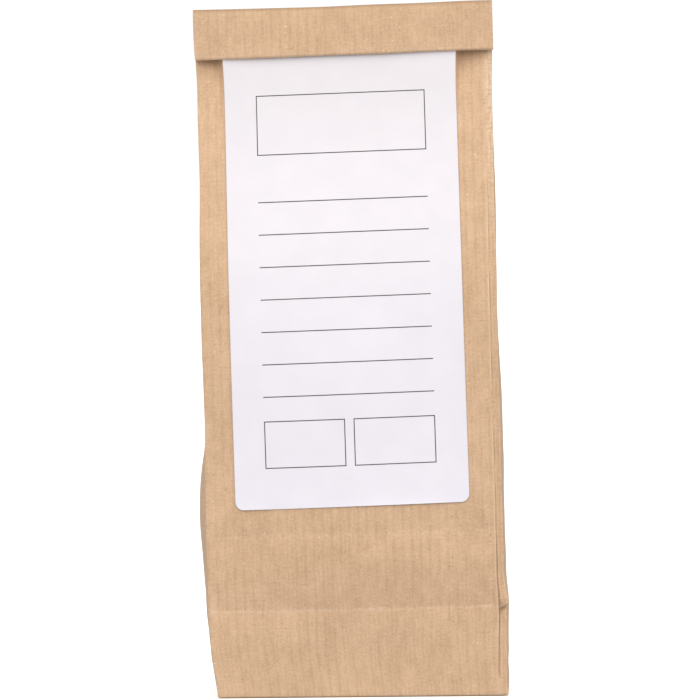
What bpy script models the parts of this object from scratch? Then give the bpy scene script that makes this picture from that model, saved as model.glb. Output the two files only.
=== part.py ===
"""A small block-bottom bag of brown kraft paper, filled with cut licorice root.

The bag stands on its folded bottom, with its front towards -Y and +Z up. Its side
gussets fold inwards as it closes towards the top, where the mouth is rolled forward
and down twice over the head of a plain paper label.
The origin is the middle of the flat bottom. Units are metres.
"""

import math

import bmesh
import bpy
import numpy as np
from mathutils import Euler, Matrix, Vector

# Driving dimensions of the bag: a 70 by 40 mm block bottom, 161 mm tall when rolled shut
BAG_WIDTH = 0.070
BAG_DEPTH = 0.040
BAG_HEIGHT = 0.161
WALL = 0.0004
FLOOR_THICKNESS = 0.0010
BASE_EDGE_ROUND = 0.0006

# The creases that the flat-packed bottom leaves across the front panel
BOTTOM_CREASE = BAG_DEPTH / 2 + BASE_EDGE_ROUND
FLAP_CREASE = 0.0387

# How the filled bag bellies out, and where it starts to close
BELLY_TOP = 0.062
GUSSET_BELLY_LEFT = 0.0016
GUSSET_BELLY_RIGHT = 0.0014
PANEL_BELLY = 0.0040
BASE_TUCK = 0.0007
BASE_DEPTH_TUCK = 0.0010
EDGE_PULL = 0.0006
EDGE_PULL_TOP = 0.140

# The bag leans a little to its left, and its creases rise to its right
LEAN_SLOPE = 0.0227
LEAN_RAMP = 0.035
SIDE_SHIFT_PER_HEIGHT = 0.0162
BLOCK_SHIFT = 0.0014
BLOCK_SHIFT_HEIGHT = 0.022

# The rolled closure: the pressed mouth turns over, down, and up again behind itself
ROLL_DROP = 0.0117
PACK_THICKNESS = 0.0011
MOUTH_SLIT = 0.0003
MOUTH_SLIT_HALF_WIDTH = 0.012
TOP_BEND_RADIUS = 0.00175
LOWER_BEND_RADIUS = 0.0007
ROLL_TILT = math.radians(7)
MOUTH_END_GAP = 0.0006
NECK_STEP = 0.001

# The label, a rounded rectangle stuck on the front panel with its head under the roll
LABEL_WIDTH = 0.0542
LABEL_FOOT = 0.0446
LABEL_HEAD = 0.1545
LABEL_CORNER = 0.0019
LABEL_THICKNESS = 0.0004
LABEL_GAP = 0.0003
LABEL_CENTRE_X = -0.0008
LABEL_TURN = math.radians(-0.15)

# The fill of cut root: chips set close together round a smaller core
FILL_TOP = 0.092
FILL_CLEARANCE = 0.0004
CHIP_SIDES = (0.0088, 0.0066, 0.0052)
CHIP_SIZE_SPREAD = 0.12
CHIP_SINK = 0.0008
CHIP_SPACING = 0.0085
CHIP_SEED = 12
CORE_ROUND_LEVELS = 7

# How finely the outlines are drawn
PANEL_SEGMENTS = 8
GUSSET_SEGMENTS = 4
BEND_SEGMENTS = 6
LABEL_COLUMNS = 9
LABEL_ROWS = 16
LABEL_CORNER_ROWS = 3

BEND_START = BAG_HEIGHT - PACK_THICKNESS / 2 - TOP_BEND_RADIUS
NECK = BAG_HEIGHT - ROLL_DROP


def smooth(t):
    """0 below t = 0, 1 above t = 1, and an even S between."""
    t = min(1.0, max(0.0, t))
    return t * t * (3 - 2 * t)


def closing(z):
    """The share by which the bag has closed from its full depth, at height z."""
    t = max(0.0, (z - BELLY_TOP) / (BEND_START - BELLY_TOP))
    return (1 - math.cos(math.pi * min(1.0, t) ** 1.5)) / 2


def half_depth(z):
    """Half the distance from the front edges to the back edges, at height z."""
    open_depth = BAG_DEPTH - BASE_DEPTH_TUCK * (1 - smooth(z / BOTTOM_CREASE))
    return (open_depth - (BAG_DEPTH - PACK_THICKNESS) * closing(z)) / 2


def half_width(z):
    """Half the width across the front edges: drawn in at the foot, full at the roll."""
    foot = BASE_TUCK * (1 - smooth(z / BOTTOM_CREASE))
    middle = EDGE_PULL * (1 - smooth((z - EDGE_PULL_TOP) / (BEND_START - EDGE_PULL_TOP)))
    return BAG_WIDTH / 2 - foot - middle


def panel_belly(z):
    """How far the middle of the front and back panels stands out beyond their edges."""
    return PANEL_BELLY * smooth(z / BELLY_TOP) * (1 - smooth(z / NECK))


def gusset_reach(z, belly):
    """The gusset's middle crease: outwards in the belly, folded inwards as the bag closes."""
    if z < BELLY_TOP:
        return belly * math.sin(math.pi * (z / BELLY_TOP) ** 2)
    half = BAG_DEPTH / 2
    return -math.sqrt(max(0.0, half**2 - half_depth(z) ** 2))


def ring(width, depth, belly, left, right):
    """A closed outline in (across, through), counter-clockwise from above.

    It runs along the front panel, round the right gusset, along the back panel and
    round the left gusset. left and right are how far each gusset's crease stands out.
    """
    across = np.linspace(-width, width, PANEL_SEGMENTS + 1)
    bow = belly * (1 - (across / width) ** 2)
    front = [(x, -depth - b) for x, b in zip(across, bow)]
    back = [(x, depth + b) for x, b in zip(across[::-1], bow[::-1])]
    steps = np.linspace(0, 1, GUSSET_SEGMENTS + 1)[1:-1]

    def gusset(reach):
        if reach > 0:
            shape = 4 * steps * (1 - steps)
        else:
            shape = 1 - np.abs(2 * steps - 1)
        return width + reach * shape, depth * (2 * steps - 1)

    right_side = list(zip(*gusset(right)))
    left_side = [(-x, y) for x, y in zip(*gusset(left))][::-1]
    return front + right_side + back + left_side


def body_ring(z, inset=0.0):
    """The bag's outline at height z, or the outline that lies inset within its paper."""
    width, depth = half_width(z), half_depth(z)
    reaches = [gusset_reach(z, b) for b in (GUSSET_BELLY_LEFT, GUSSET_BELLY_RIGHT)]
    if inset == 0:
        return ring(width, depth, panel_belly(z), *reaches)
    corner = math.atan2(depth, max(0.0, -min(reaches)))
    inner_width = width - inset / math.tan(corner / 2)
    shift = width - inner_width - inset / math.sin(corner)
    inner = [reach + shift for reach in reaches]
    return ring(inner_width, depth - inset, panel_belly(z), *inner)


def lean(point):
    """Moves a point of the upright bag to where the leaning bag has it."""
    x, y, z = point
    shift = BLOCK_SHIFT * smooth(z / BLOCK_SHIFT_HEIGHT) + SIDE_SHIFT_PER_HEIGHT * z
    rise = LEAN_SLOPE * x * smooth(z / LEAN_RAMP)
    return Vector((x - shift, y, z + rise))


def body_levels():
    """The heights of the body's outlines, which include both creases and the neck."""
    block = np.linspace(BOTTOM_CREASE / 4, BOTTOM_CREASE, 4)
    flap = np.linspace(BOTTOM_CREASE, FLAP_CREASE, 4)[1:]
    shoulder = np.linspace(FLAP_CREASE, NECK, 15)[1:]
    return [*block, *flap, *shoulder]


def roll_stations():
    """(through, height, turn) along the middle of the pressed mouth, from the neck on.

    The turn is 0 going up, a half turn going down and a whole turn going up again.
    """
    stations = [(0.0, z, 0.0) for z in np.linspace(NECK + NECK_STEP, BEND_START, 3)]
    y, z, turn = stations[-1]

    def bend(radius, until):
        nonlocal y, z, turn
        centre_y = y - radius * math.cos(turn)
        centre_z = z - radius * math.sin(turn)
        for angle in np.linspace(turn, until, BEND_SEGMENTS + 1)[1:]:
            y = centre_y + radius * math.cos(angle)
            z = centre_z + radius * math.sin(angle)
            stations.append((y, z, angle))
        turn = until

    def straight(length):
        nonlocal y, z
        y -= length * math.sin(turn)
        z += length * math.cos(turn)
        stations.append((y, z, turn))

    ends = TOP_BEND_RADIUS + LOWER_BEND_RADIUS + PACK_THICKNESS
    bend(TOP_BEND_RADIUS, math.pi - ROLL_TILT)
    straight(ROLL_DROP - ends)
    bend(LOWER_BEND_RADIUS, 2 * math.pi - ROLL_TILT)
    straight(ROLL_DROP - ends - MOUTH_END_GAP)
    return stations


def placed(outline, y, z, turn):
    """An outline set square to the path at (y, z), then leaned with the bag."""
    points = []
    for across, through in outline:
        point = (across, y + through * math.cos(turn), z + through * math.sin(turn))
        points.append(lean(point))
    return points


def bag_surfaces():
    """The bag's outer and inner outlines, each from the bottom to the mouth."""
    slit = ring(MOUTH_SLIT_HALF_WIDTH, MOUTH_SLIT / 2, 0, 0, 0)
    foot = body_ring(0.0, BASE_EDGE_ROUND)
    outer = [placed(foot, 0, 0, 0), placed(body_ring(BASE_EDGE_ROUND), 0, BASE_EDGE_ROUND, 0)]
    inner = [placed(body_ring(FLOOR_THICKNESS, WALL), 0, FLOOR_THICKNESS, 0)]
    for z in body_levels():
        outer.append(placed(body_ring(z), 0, z, 0))
        inner.append(placed(body_ring(z, WALL), 0, z, 0))
    for y, z, turn in roll_stations():
        in_body = turn == 0
        thickness = half_depth(z) if in_body else PACK_THICKNESS / 2
        pack = ring(half_width(min(z, BEND_START)), thickness, 0, 0, 0)
        outer.append(placed(pack, y, z, turn))
        inner.append(placed(slit, y, z, turn))
    return outer, inner


def skin(outlines):
    """A closed mesh over outlines of equal count, with the first and last one filled."""
    mesh = bmesh.new()
    rows = [[mesh.verts.new(point) for point in outline] for outline in outlines]
    for low, high in zip(rows, rows[1:]):
        for i in range(len(low)):
            j = (i + 1) % len(low)
            mesh.faces.new((low[i], low[j], high[j], high[i]))
    mesh.faces.new(rows[0][::-1])
    mesh.faces.new(rows[-1])
    return mesh


def material(name, colour, roughness):
    made = bpy.data.materials.new(name)
    made.use_nodes = True
    shader = made.node_tree.nodes["Principled BSDF"]
    shader.inputs["Base Color"].default_value = (*colour, 1.0)
    shader.inputs["Roughness"].default_value = roughness
    shader.inputs["Metallic"].default_value = 0.0
    return made


def object_from(mesh, name, collection, finish=None):
    data = bpy.data.meshes.new(name)
    mesh.to_mesh(data)
    mesh.free()
    made = bpy.data.objects.new(name, data)
    collection.objects.link(made)
    if finish:
        data.materials.append(finish)
    return made


def make_bag(collection):
    """One sheet of paper: up the outside from the bottom, and down the inside from the mouth."""
    outer, inner = bag_surfaces()
    mesh = skin(outer + inner[::-1])
    kraft = material("brown_kraft_paper", (0.70, 0.48, 0.30), 0.85)
    return object_from(mesh, "paper_bag", collection, kraft)


def front_surface(x, z, gap):
    """The point at that gap in front of the front panel."""
    bow = panel_belly(z) * (1 - (x / half_width(z)) ** 2)
    return lean((x, -half_depth(z) - bow - gap, z))


def label_rows():
    """(height, half width) of the label's rows, closer together at its round corners."""
    angles = np.linspace(0, math.pi / 2, LABEL_CORNER_ROWS + 1)
    rise = LABEL_CORNER * (1 - np.cos(angles))
    half = LABEL_WIDTH / 2 - LABEL_CORNER * (1 - np.sin(angles))
    straight = np.linspace(LABEL_FOOT + LABEL_CORNER, LABEL_HEAD - LABEL_CORNER, LABEL_ROWS)
    foot = list(zip(LABEL_FOOT + rise, half))
    head = list(zip(LABEL_HEAD - rise, half))[::-1]
    return foot + [(z, LABEL_WIDTH / 2) for z in straight[1:-1]] + head


def make_label(collection):
    """A sheet that follows the front panel, turned a little, and given its thickness."""
    rows = label_rows()
    mesh = bmesh.new()
    grid = bmesh.ops.create_grid(mesh, x_segments=LABEL_COLUMNS, y_segments=len(rows) - 1, size=1)
    middle = (LABEL_FOOT + LABEL_HEAD) / 2
    for vert in grid["verts"]:
        row = round((vert.co.y + 1) / 2 * (len(rows) - 1))
        height, half = rows[row]
        x = vert.co.x * half
        z = height - middle
        turned_x = x * math.cos(LABEL_TURN) + z * math.sin(LABEL_TURN)
        turned_z = z * math.cos(LABEL_TURN) - x * math.sin(LABEL_TURN)
        vert.co = front_surface(LABEL_CENTRE_X + turned_x, middle + turned_z, LABEL_GAP)
    paper = material("white_label_paper", (0.90, 0.87, 0.89), 0.55)
    label = object_from(mesh, "label", collection, paper)
    thickness = label.modifiers.new("thickness", "SOLIDIFY")
    thickness.thickness = LABEL_THICKNESS
    thickness.offset = 1
    return label


def along(outline, spacing, offset):
    """Points at an even spacing round a closed outline, started at a share of a step."""
    points = np.array(outline + outline[:1])
    run = np.concatenate([[0], np.cumsum(np.hypot(*np.diff(points, axis=0).T))])
    count = max(3, round(run[-1] / spacing))
    at = (np.arange(count) + offset) / count * run[-1]
    return np.column_stack([np.interp(at, run, points[:, 0]), np.interp(at, run, points[:, 1])])


def chip_places(reach):
    """Where the chips' centres lie: in rings up the sides, and in rings in the top and foot.

    reach is the distance that every chip's centre keeps to the inside of the paper.
    """
    inset = WALL + FILL_CLEARANCE + reach
    low = FLOOR_THICKNESS + FILL_CLEARANCE + reach
    high = FILL_TOP - reach
    levels = np.linspace(low, high, round((high - low) / CHIP_SPACING) + 1)
    places = []
    for i, z in enumerate(levels):
        for x, y in along(body_ring(z, inset), CHIP_SPACING, 0.5 * (i % 2)):
            places.append((x, y, z))
    for z in (low, high):
        for row in np.arange(1, 3):
            for x, y in along(body_ring(z, inset + row * CHIP_SPACING * 0.8), CHIP_SPACING, 0):
                places.append((x, y, z))
    return places


def make_chip(rng, name, place, collection):
    """A cut piece of root: a block with one end narrower, or a short split length."""
    mesh = bmesh.new()
    sides = Vector(CHIP_SIDES) * rng.uniform(1 - CHIP_SIZE_SPREAD, 1)
    if rng.random() < 0.6:
        bmesh.ops.create_cube(mesh, size=1)
    else:
        bmesh.ops.create_cone(
            mesh, cap_ends=True, segments=5, radius1=0.55, radius2=0.5, depth=1
        )
    taper = rng.uniform(0.7, 1.0)
    for vert in mesh.verts:
        if vert.co.z > 0:
            vert.co.x *= taper
    across = Matrix.Diagonal((sides.y, sides.z, sides.x, 1))
    turn = Euler(rng.uniform(0, math.tau, 3)).to_matrix().to_4x4()
    mesh.transform(Matrix.Translation(lean(place)) @ turn @ across)
    return object_from(mesh, name, collection)


def make_fill(collection):
    """Chips of root on all sides of a core, joined into the one mass that fills the bag."""
    rng = np.random.default_rng(CHIP_SEED)
    reach = Vector(CHIP_SIDES).length / 2
    chips = bpy.data.collections.new("root_chips")
    bpy.context.scene.collection.children.link(chips)
    for i, place in enumerate(chip_places(reach)):
        make_chip(rng, f"chip_{i}", place, chips)
    core_inset = WALL + FILL_CLEARANCE + reach - CHIP_SINK
    low = FLOOR_THICKNESS + FILL_CLEARANCE + reach - CHIP_SINK
    high = FILL_TOP - reach + CHIP_SINK
    levels = np.linspace(low, high, CORE_ROUND_LEVELS)
    outlines = [placed(body_ring(z, core_inset), 0, z, 0) for z in levels]
    root = material("cut_root", (0.62, 0.45, 0.20), 0.9)
    core = object_from(skin(outlines), "cut_licorice_root", collection, root)
    union = core.modifiers.new("join_chips", "BOOLEAN")
    union.operation = "UNION"
    union.operand_type = "COLLECTION"
    union.collection = chips
    union.solver = "MANIFOLD"
    bpy.context.view_layer.update()
    graph = bpy.context.evaluated_depsgraph_get()
    joined = bpy.data.meshes.new_from_object(core.evaluated_get(graph))
    core.modifiers.clear()
    core.data = joined
    for chip in list(chips.objects):
        bpy.data.objects.remove(chip)
    bpy.data.collections.remove(chips)
    return core


def main():
    for old in list(bpy.data.objects):
        bpy.data.objects.remove(old)
    collection = bpy.data.collections.new("licorice_root_bag")
    bpy.context.scene.collection.children.link(collection)
    make_bag(collection)
    make_label(collection)
    make_fill(collection)


main()
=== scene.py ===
"""The looks of a small block-bottom bag of brown kraft paper, filled with cut licorice root.

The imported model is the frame. Each section below dresses one piece of it, in the order in
which such a bag is made and filled: the paper sheet, its bottom flaps, the label, what is
printed on it, and the cut root inside. Lengths are in metres.
"""

import math

import bpy
import numpy as np
from mathutils import Matrix, Vector


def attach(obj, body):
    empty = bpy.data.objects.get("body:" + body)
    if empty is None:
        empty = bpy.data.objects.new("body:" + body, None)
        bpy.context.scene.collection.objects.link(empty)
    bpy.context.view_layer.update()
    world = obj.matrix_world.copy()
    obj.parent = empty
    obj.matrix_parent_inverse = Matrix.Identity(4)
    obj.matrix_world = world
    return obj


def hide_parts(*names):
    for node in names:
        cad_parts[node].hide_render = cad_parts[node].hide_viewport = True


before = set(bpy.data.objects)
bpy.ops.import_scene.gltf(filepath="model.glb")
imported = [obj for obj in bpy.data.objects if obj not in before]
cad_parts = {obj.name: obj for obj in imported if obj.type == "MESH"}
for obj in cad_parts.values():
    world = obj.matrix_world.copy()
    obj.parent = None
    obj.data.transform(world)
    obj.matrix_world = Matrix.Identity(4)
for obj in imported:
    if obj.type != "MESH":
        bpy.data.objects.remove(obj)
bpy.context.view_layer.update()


# The paper: one sheet of ribbed brown kraft, glued to a tube 220 mm round with a gusset on
# each side, folded to a block bottom, and rolled shut at the top over its own front.
# It is worked out as the outline's path round the bag at each height, creases and all.

FRONT = 0.070
GUSSET = 0.040
ROUND = 2 * (FRONT + GUSSET)
HEIGHT = 0.161
PAPER = 0.00016

# The foot, and the creases that the flat bag's bottom leaves across the front
FOOT_ROUND = 0.0004
FOOT_LIFT = 0.00018
FOOT_TUCK = 0.0007
BOTTOM_CREASE = 0.0206
FLAP_CREASE = 0.0387
BELLY_TOP = 0.062

# The roll, with its pressed layers, and how the paper dents and fills out under it
PACK = 0.0007
TOP_BEND_RADIUS = 0.0015
LOWER_BEND_RADIUS = 0.00030
ROLL_DROP = 0.0119
ROLL_TILT = math.radians(6)
MOUTH_GAP = 0.0006
ROLL_SKEW = 0.006
ROLL_END_CUT = 0.0003
ROLL_END_TURN = 0.0005
NECK_END_TURN = 0.0005
NECK_DENT = 0.0011
NECK_FULLNESS = 0.0014
ROLL_WAVE = 0.00012
STIFF_CENTRE = -0.00115
STIFF_HALF_WIDTH = 0.0274
RIGHT_BULGE = 0.00045
BEND_START = HEIGHT - PACK / 2 - TOP_BEND_RADIUS
NECK = HEIGHT - ROLL_DROP

# The edges and the gussets' middles: how far they draw in, and how tightly they bend
EDGE_PULL = 0.0006
EDGE_PULL_TOP = 0.140
OPEN_EDGE_RADIUS = 0.00045
SHUT_EDGE_RADIUS = 0.00010
OPEN_TIP_RADIUS = 0.0012
SHUT_TIP_RADIUS = 0.00010

# How far the filled panels and gussets stand out
BELLY_PEAK = 0.045
BELLY_FRONT = 0.0040
BELLY_BACK = 0.0034
BELLY_LEFT = 0.0021
BELLY_RIGHT = 0.0005

# The second crease beside the right front edge, and the glued seam down the back
SECOND_CREASE = 0.0018
SECOND_CREASE_TURN = math.radians(17)
SEAM_EDGE = -0.1035
SEAM_OVERLAP = 0.010

# How the bag leans to its left and its creases rise to its right
LEAN_SLOPE = 0.0227
LEAN_RAMP = 0.035
SIDE_SHIFT_PER_HEIGHT = 0.0162
BLOCK_SHIFT = 0.0009
BLOCK_SHIFT_HEIGHT = 0.0125


def smooth(t):
    """An even S from 0 to 1: 3t^2 - 2t^3, with t held between 0 and 1."""
    t = np.clip(t, 0, 1)
    return t * t * (3 - 2 * t)


def mixed(a, b, share):
    """a where the share is 0, b where it is 1."""
    return a + (b - a) * share


def rounded(distance, tip):
    """The distance from a crease, rounded off near it: sqrt(d^2 + tip^2) - tip."""
    return np.sqrt(distance**2 + tip**2) - tip


def peak(distance, reach):
    """A soft-tipped tent: 1 on a crease, down in a straight line to 0 at its reach."""
    return np.clip(1 - rounded(distance, 0.00022) / reach, 0, 1)


def line(distance, width):
    """A narrow bell across a crease: exp(-(distance / width)^2)."""
    return np.exp(-((distance / width) ** 2))


def ripple(around, up, lengths, seed):
    """Smooth unevenness: the mean of 16 cosine waves over the flat sheet.

    Each wave has a random direction and phase, and a length between the two given.
    Around the tube it fits a whole number of times, so that it joins at the seam.
    """
    rng = np.random.default_rng(seed)
    total = 0
    for _ in range(16):
        length = rng.uniform(*lengths)
        angle = rng.uniform(0, math.tau)
        turns = round(ROUND / length * math.cos(angle))
        climb = math.tau / length * math.sin(angle)
        phase = rng.uniform(0, math.tau)
        total = total + np.cos(math.tau * turns * around / ROUND + climb * up + phase)
    return total / 4


def fold_angle(z):
    """How far each gusset has folded in: 0 below the belly's top, a quarter turn at the roll.

    The depth left between front and back is its full value times the cosine of this.
    """
    t = np.clip((z - BELLY_TOP) / (BEND_START - BELLY_TOP), 0, 1)
    return np.arccos((1 + np.cos(np.pi * t**1.5)) / 2)


def half_width(z):
    """Half the width between the edges: drawn in at the foot, full at the roll."""
    foot = FOOT_TUCK * (1 - smooth(z / BOTTOM_CREASE))
    middle = EDGE_PULL * (1 - smooth((z - EDGE_PULL_TOP) / (BEND_START - EDGE_PULL_TOP)))
    return FRONT / 2 - foot - middle


def belly(z, depth):
    """How far the middle of a panel stands out, from nothing at the foot and the neck."""
    return depth * smooth(z / BELLY_PEAK) * (1 - smooth((z - BELLY_PEAK) / (NECK - BELLY_PEAK)))


def gusset_belly(z, depth):
    """How far a gusset stands out, most at seven tenths of its belly's height."""
    return np.where(z < BELLY_TOP, depth * np.sin(np.pi * (z / BELLY_TOP) ** 2), 0)


def half_outline(run, z, gusset_depth, crease_turn):
    """Half of the bag's outline at each height, from the front's middle to the back's.

    The heading turns along the run: a little over the panels where they belly, by a
    quarter turn and the fold angle at the front and back edges, and back by twice the
    fold angle at the gusset's middle crease. Each turn is an even arc. The place is the
    running sum of the heading's cosine and sine. crease_turn is the part of the front
    edge's turn that a second crease just before it takes. Returns across, through, heading.
    """
    fold = fold_angle(z)
    shut = smooth(fold / (np.pi / 2))
    edge_radius = mixed(OPEN_EDGE_RADIUS, SHUT_EDGE_RADIUS, shut)
    tip_radius = mixed(OPEN_TIP_RADIUS, SHUT_TIP_RADIUS, shut)
    front_bow = 4 * belly(z, BELLY_FRONT) / FRONT
    back_bow = 4 * belly(z, BELLY_BACK) / FRONT
    gusset_bow = 8 * gusset_belly(z, gusset_depth) / GUSSET
    front_turn = np.pi / 2 + fold - gusset_bow / 2 - front_bow
    back_turn = np.pi / 2 + fold - gusset_bow / 2 - back_bow

    def bend(turn, place, radius):
        length = np.maximum(turn * radius, 1e-5)
        return turn * np.clip((run - place) / length + 0.5, 0, 1)

    edge = FRONT / 2
    heading = front_bow * np.clip(run / edge, 0, 1)
    heading = heading + bend(crease_turn, edge - SECOND_CREASE, SHUT_EDGE_RADIUS)
    heading = heading + bend(front_turn - crease_turn, edge, edge_radius)
    heading = heading + gusset_bow * np.clip((run - edge) / GUSSET, 0, 1)
    heading = heading - bend(2 * fold, edge + GUSSET / 2, tip_radius)
    heading = heading + bend(back_turn, edge + GUSSET, edge_radius)
    heading = heading + back_bow * np.clip((run - edge - GUSSET) / edge, 0, 1)

    middle = (heading[:, 1:] + heading[:, :-1]) / 2
    step = np.diff(run)
    start = np.zeros((len(z), 1))
    across = np.concatenate([start, np.cumsum(np.cos(middle) * step, axis=1)], axis=1)
    through = np.concatenate([start, np.cumsum(np.sin(middle) * step, axis=1)], axis=1)
    return across, through, heading


def outlines(columns, z):
    """The whole outline at each height: across, through, and the heading, on the columns.

    Both halves are worked out finely and read off at the columns. What they miss the
    back's middle and each other by is shared out along them, and each half is scaled
    across so that its front edge stands at half_width.
    """
    fine = np.linspace(0, ROUND / 2, 5501)[None, :]
    z = z[:, None]
    crease_turn = SECOND_CREASE_TURN * (1 - smooth((z - NECK) / (BEND_START - NECK)))
    halves = [
        half_outline(fine, z, BELLY_LEFT, 0 * z),
        half_outline(fine, z, BELLY_RIGHT, crease_turn),
    ]
    share = fine / fine[0, -1]
    front_edge = round(FRONT / 2 / fine[0, 1])
    back_edge = round((FRONT / 2 + GUSSET) / fine[0, 1])
    pick = np.rint(np.abs(columns) / fine[0, 1]).astype(int)
    back_through = (halves[0][1][:, -1:] + halves[1][1][:, -1:]) / 2
    sides = []
    for across, through, heading in halves:
        across = across - across[:, -1:] * share
        through = through + (back_through - through[:, -1:]) * share
        across = across * half_width(z) / across[:, front_edge, None]
        sides.append((across, through, heading))
    left, right = sides
    on_left = columns < 0
    across = np.where(on_left, -left[0][:, pick], right[0][:, pick])
    through = np.where(on_left, left[1][:, pick], right[1][:, pick])
    heading = np.where(on_left, -left[2][:, pick], right[2][:, pick])
    middle = (left[1][:, front_edge, None] + left[1][:, back_edge, None]) / 2
    return across, through - middle, heading


FOLD_HEIGHT = BOTTOM_CREASE - 0.0006
FLAP_BULGE = 0.00062
BOTTOM_PINCH = 0.00030
FLAP_PINCH = 0.00022
PINCH_REACH = 0.0035


def quilted(v):
    """How far the front stands off at its two creases, where it is pinched in.

    Below the lower and above the upper one the pinch dies away as exp(-d / reach). The
    strip between them bulges as 4 a b / L^2, for the rounded distances a and b to the
    two creases and the strip's length L.
    """
    strip = FLAP_CREASE - BOTTOM_CREASE
    below = np.clip(BOTTOM_CREASE - v, 0, None)
    above = np.clip(v - FLAP_CREASE, 0, None)
    low = np.clip(v - BOTTOM_CREASE, 0, strip)
    high = strip - low
    bottom_pinch = BOTTOM_PINCH * np.exp(-below / PINCH_REACH)
    flap_pinch = FLAP_PINCH * np.exp(-above / PINCH_REACH)
    pinch = mixed(bottom_pinch, flap_pinch, low / strip)
    bulge = 4 * FLAP_BULGE * rounded(low, 0.00015) * rounded(high, 0.0006) / strip**2
    return bulge - pinch


# How far each dent, lump, fold and step stands off the plain outline
DENT = 0.00016
LUMP = 0.00005
GUSSET_MIDDLE_FOLD = 0.00030
GUSSET_CORNER_FOLD = 0.00022
GUSSET_CROSS_FOLD = 0.00016
GROOVE_DEPTH = 0.00038
TUCK_HEIGHT = 0.00052
SEAM_STEP = 0.00014


def fold_height(s):
    """Where the small tuck near the right edge lies: it rises towards the edge."""
    return FOLD_HEIGHT + 0.4 * np.clip(s - FRONT / 2 + SECOND_CREASE, 0, SECOND_CREASE)


def relief(s, v, on_roll):
    """How far the paper stands off its plain outline: folds, dents and lumps.

    s is the place round the sheet, v the place up it. The front is quilted by the
    creases of the flat bag's bottom. The gussets keep the fold lines of the flat bag: up
    their middle, across their front half, and down to the bottom corners. Beside the right
    front edge a groove runs up the second crease, with a tuck across it. The glued seam is
    a step down the back.
    """
    from_front = np.abs(s)
    side = np.abs(from_front - FRONT / 2 - GUSSET / 2)
    on_front = smooth((FRONT / 2 - from_front) / 0.002)
    on_gusset = smooth((GUSSET / 2 - side) / 0.002)
    on_right = s > 0
    body = 1 - on_roll

    off = quilted(v) * on_front * body
    loose = smooth(v / 0.02) * (1 - smooth((v - NECK + 0.030) / 0.028))
    off = off + DENT * ripple(s, v, (0.030, 0.060), 3) * loose
    low_down = 1 - smooth(v / 0.12)
    off = off + LUMP * ripple(s, v, (0.009, 0.018), 4) * smooth(v / 0.01) * low_down

    above = v > BOTTOM_CREASE
    middle_line = peak(side, 0.012) * smooth((v - BOTTOM_CREASE) / 0.012)
    middle_line = middle_line * (1 - smooth((v - BELLY_TOP) / 0.01))
    corner_line = peak((side - (BOTTOM_CREASE - v)) * 0.7, 0.006) * np.where(above, 0, 1)
    front_half = from_front < FRONT / 2 + GUSSET / 2
    cross_line = peak(v - BOTTOM_CREASE, 0.005) * np.where(front_half, 1, 0)
    off = off + on_gusset * (GUSSET_CORNER_FOLD * corner_line - GUSSET_MIDDLE_FOLD * middle_line)
    off = off + on_gusset * GUSSET_CROSS_FOLD * cross_line

    groove = line(s - (FRONT / 2 - SECOND_CREASE), 0.00018) * smooth((v - 0.003) / 0.002)
    groove = groove * (1 - 0.6 * smooth((v - 0.030) / 0.010)) * body
    groove = groove * (1 - 0.8 * smooth((v - 0.100) / 0.020))
    above_fold = v - fold_height(s)
    fold = smooth((0.0075 - above_fold) / 0.0075) * smooth((above_fold + 0.00025) / 0.0005)
    fold = fold - 0.5 * line(above_fold + 0.0006, 0.0005)
    beyond = smooth((from_front - FRONT / 2 + SECOND_CREASE) / 0.0006)
    beyond = beyond * (1 - smooth((from_front - FRONT / 2) / 0.002))
    off = off - GROOVE_DEPTH * groove + TUCK_HEIGHT * fold * beyond * on_right

    under_flap = smooth((SEAM_EDGE - s) / 0.00025)
    over_inner = 1 - smooth((SEAM_EDGE - s - SEAM_OVERLAP) / 0.0012)
    seam = np.where(s < 0, under_flap * over_inner, 0)
    below_roll = 1 - smooth((v - BEND_START + 0.014) / 0.012)
    return off + SEAM_STEP * seam * body * below_roll


def lean(x, y, z):
    """The upright bag's points where the leaning bag has them.

    The top moves to the left by a share of the height, and what is above the block
    bottom turns with it, so that it rises to the right.
    """
    shift = BLOCK_SHIFT * smooth(z / BLOCK_SHIFT_HEIGHT) + SIDE_SHIFT_PER_HEIGHT * z
    rise = LEAN_SLOPE * x * smooth(z / LEAN_RAMP)
    return x - shift, y, z + rise


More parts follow.
